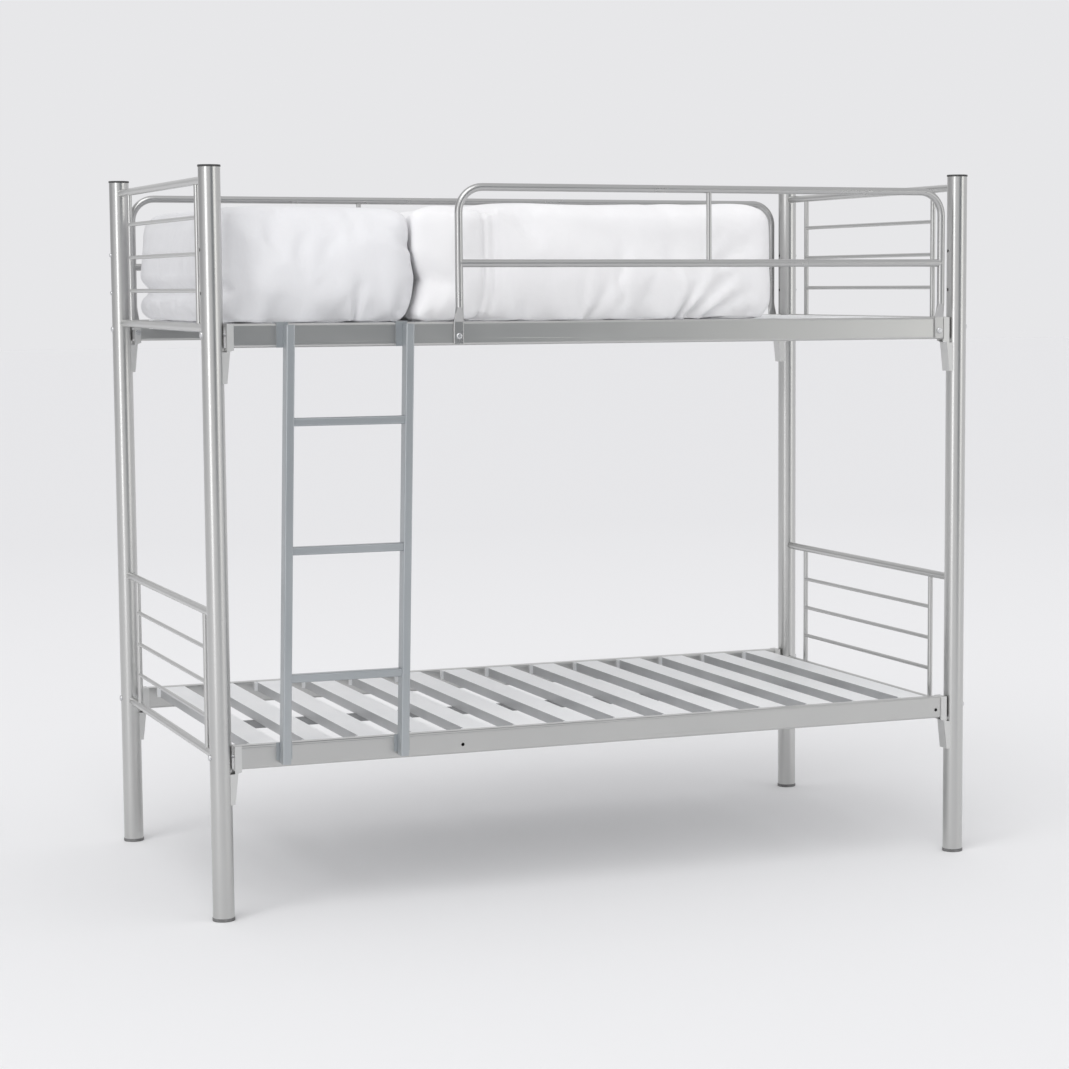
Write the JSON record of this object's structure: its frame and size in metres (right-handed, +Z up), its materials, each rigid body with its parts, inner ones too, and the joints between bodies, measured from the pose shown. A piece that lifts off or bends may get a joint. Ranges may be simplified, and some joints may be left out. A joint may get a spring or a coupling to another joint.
{
  "type": "bunk bed",
  "caption": "Tubular steel bunk bed with slatted decks, end panels, guard rails, a hook-on ladder and loose padded bedding on the upper deck.",
  "frame": {"origin": "on the floor, at the middle of the bed's outline", "axes": "+X along the bed, away from the ladder's end; +Y from the ladder's side to the back; +Z up"},
  "size_m": [2.0088, 1.0908, 1.76],
  "materials": {
    "silver_paint": "satin",
    "deck_paint": "satin",
    "dark_plastic": "matte",
    "fasteners": "satin",
    "bedding": "matte"
  },
  "bodies": {
    "frame": {"front_guard_frame": "silver_paint", "front_guard_middle_tube": "silver_paint", "front_guard_spindle": "silver_paint", "guard_bolts": "fasteners", "guard_nuts": "fasteners", "lower_centre_bar": "silver_paint", "lower_corner_brackets": "silver_paint", "lower_front_rail": "silver_paint", "lower_left_panel_bottom_rail": "silver_paint", "lower_left_panel_rods": "silver_paint", "lower_left_panel_spindles": "silver_paint", "lower_left_panel_top_rail": "silver_paint", "lower_rear_rail": "silver_paint", "lower_right_panel_bottom_rail": "silver_paint", "lower_right_panel_rods": "silver_paint", "lower_right_panel_spindles": "silver_paint", "lower_right_panel_top_rail": "silver_paint", "lower_slat_clips": "deck_paint", "lower_slats": "deck_paint", "post_bolts": "fasteners", "post_cap_front_left": "dark_plastic", "post_cap_front_right": "dark_plastic", "post_cap_rear_left": "dark_plastic", "post_cap_rear_right": "dark_plastic", "post_foot_front_left": "dark_plastic", "post_foot_front_right": "dark_plastic", "post_foot_rear_left": "dark_plastic", "post_foot_rear_right": "dark_plastic", "post_front_left": "silver_paint", "post_front_right": "silver_paint", "post_rear_left": "silver_paint", "post_rear_right": "silver_paint", "rear_guard_frame": "silver_paint", "rear_guard_middle_tube": "silver_paint", "rear_guard_spindles": "silver_paint", "upper_centre_bar": "silver_paint", "upper_corner_brackets": "silver_paint", "upper_front_rail": "silver_paint", "upper_left_panel_bottom_rail": "silver_paint", "upper_left_panel_rods": "silver_paint", "upper_left_panel_spindles": "silver_paint", "upper_left_panel_top_rail": "silver_paint", "upper_rear_rail": "silver_paint", "upper_right_panel_bottom_rail": "silver_paint", "upper_right_panel_rods": "silver_paint", "upper_right_panel_spindles": "silver_paint", "upper_right_panel_top_rail": "silver_paint", "upper_slat_clips": "deck_paint", "upper_slats": "deck_paint"},
    "ladder": {"ladder_hook_lower_left": "silver_paint", "ladder_hook_lower_right": "silver_paint", "ladder_hook_upper_left": "silver_paint", "ladder_hook_upper_right": "silver_paint", "ladder_rung_1": "silver_paint", "ladder_rung_2": "silver_paint", "ladder_rung_3": "silver_paint", "ladder_stringer_left": "silver_paint", "ladder_stringer_right": "silver_paint"},
    "bedding_left": {"bedding_left": "bedding"},
    "bedding_right": {"bedding_right": "bedding"}
  },
  "joints": [
    {"name": "ladder_lift", "type": "slide", "parent": "frame", "child": "ladder", "axis": [0, 0, 1], "range_m": [0, 0.15]},
    {"name": "bedding_left_lift", "type": "slide", "parent": "frame", "child": "bedding_left", "axis": [0, 0, 1], "range_m": [0, 0.35]},
    {"name": "bedding_right_lift", "type": "slide", "parent": "frame", "child": "bedding_right", "axis": [0, 0, 1], "range_m": [0, 0.35]}
  ]
}
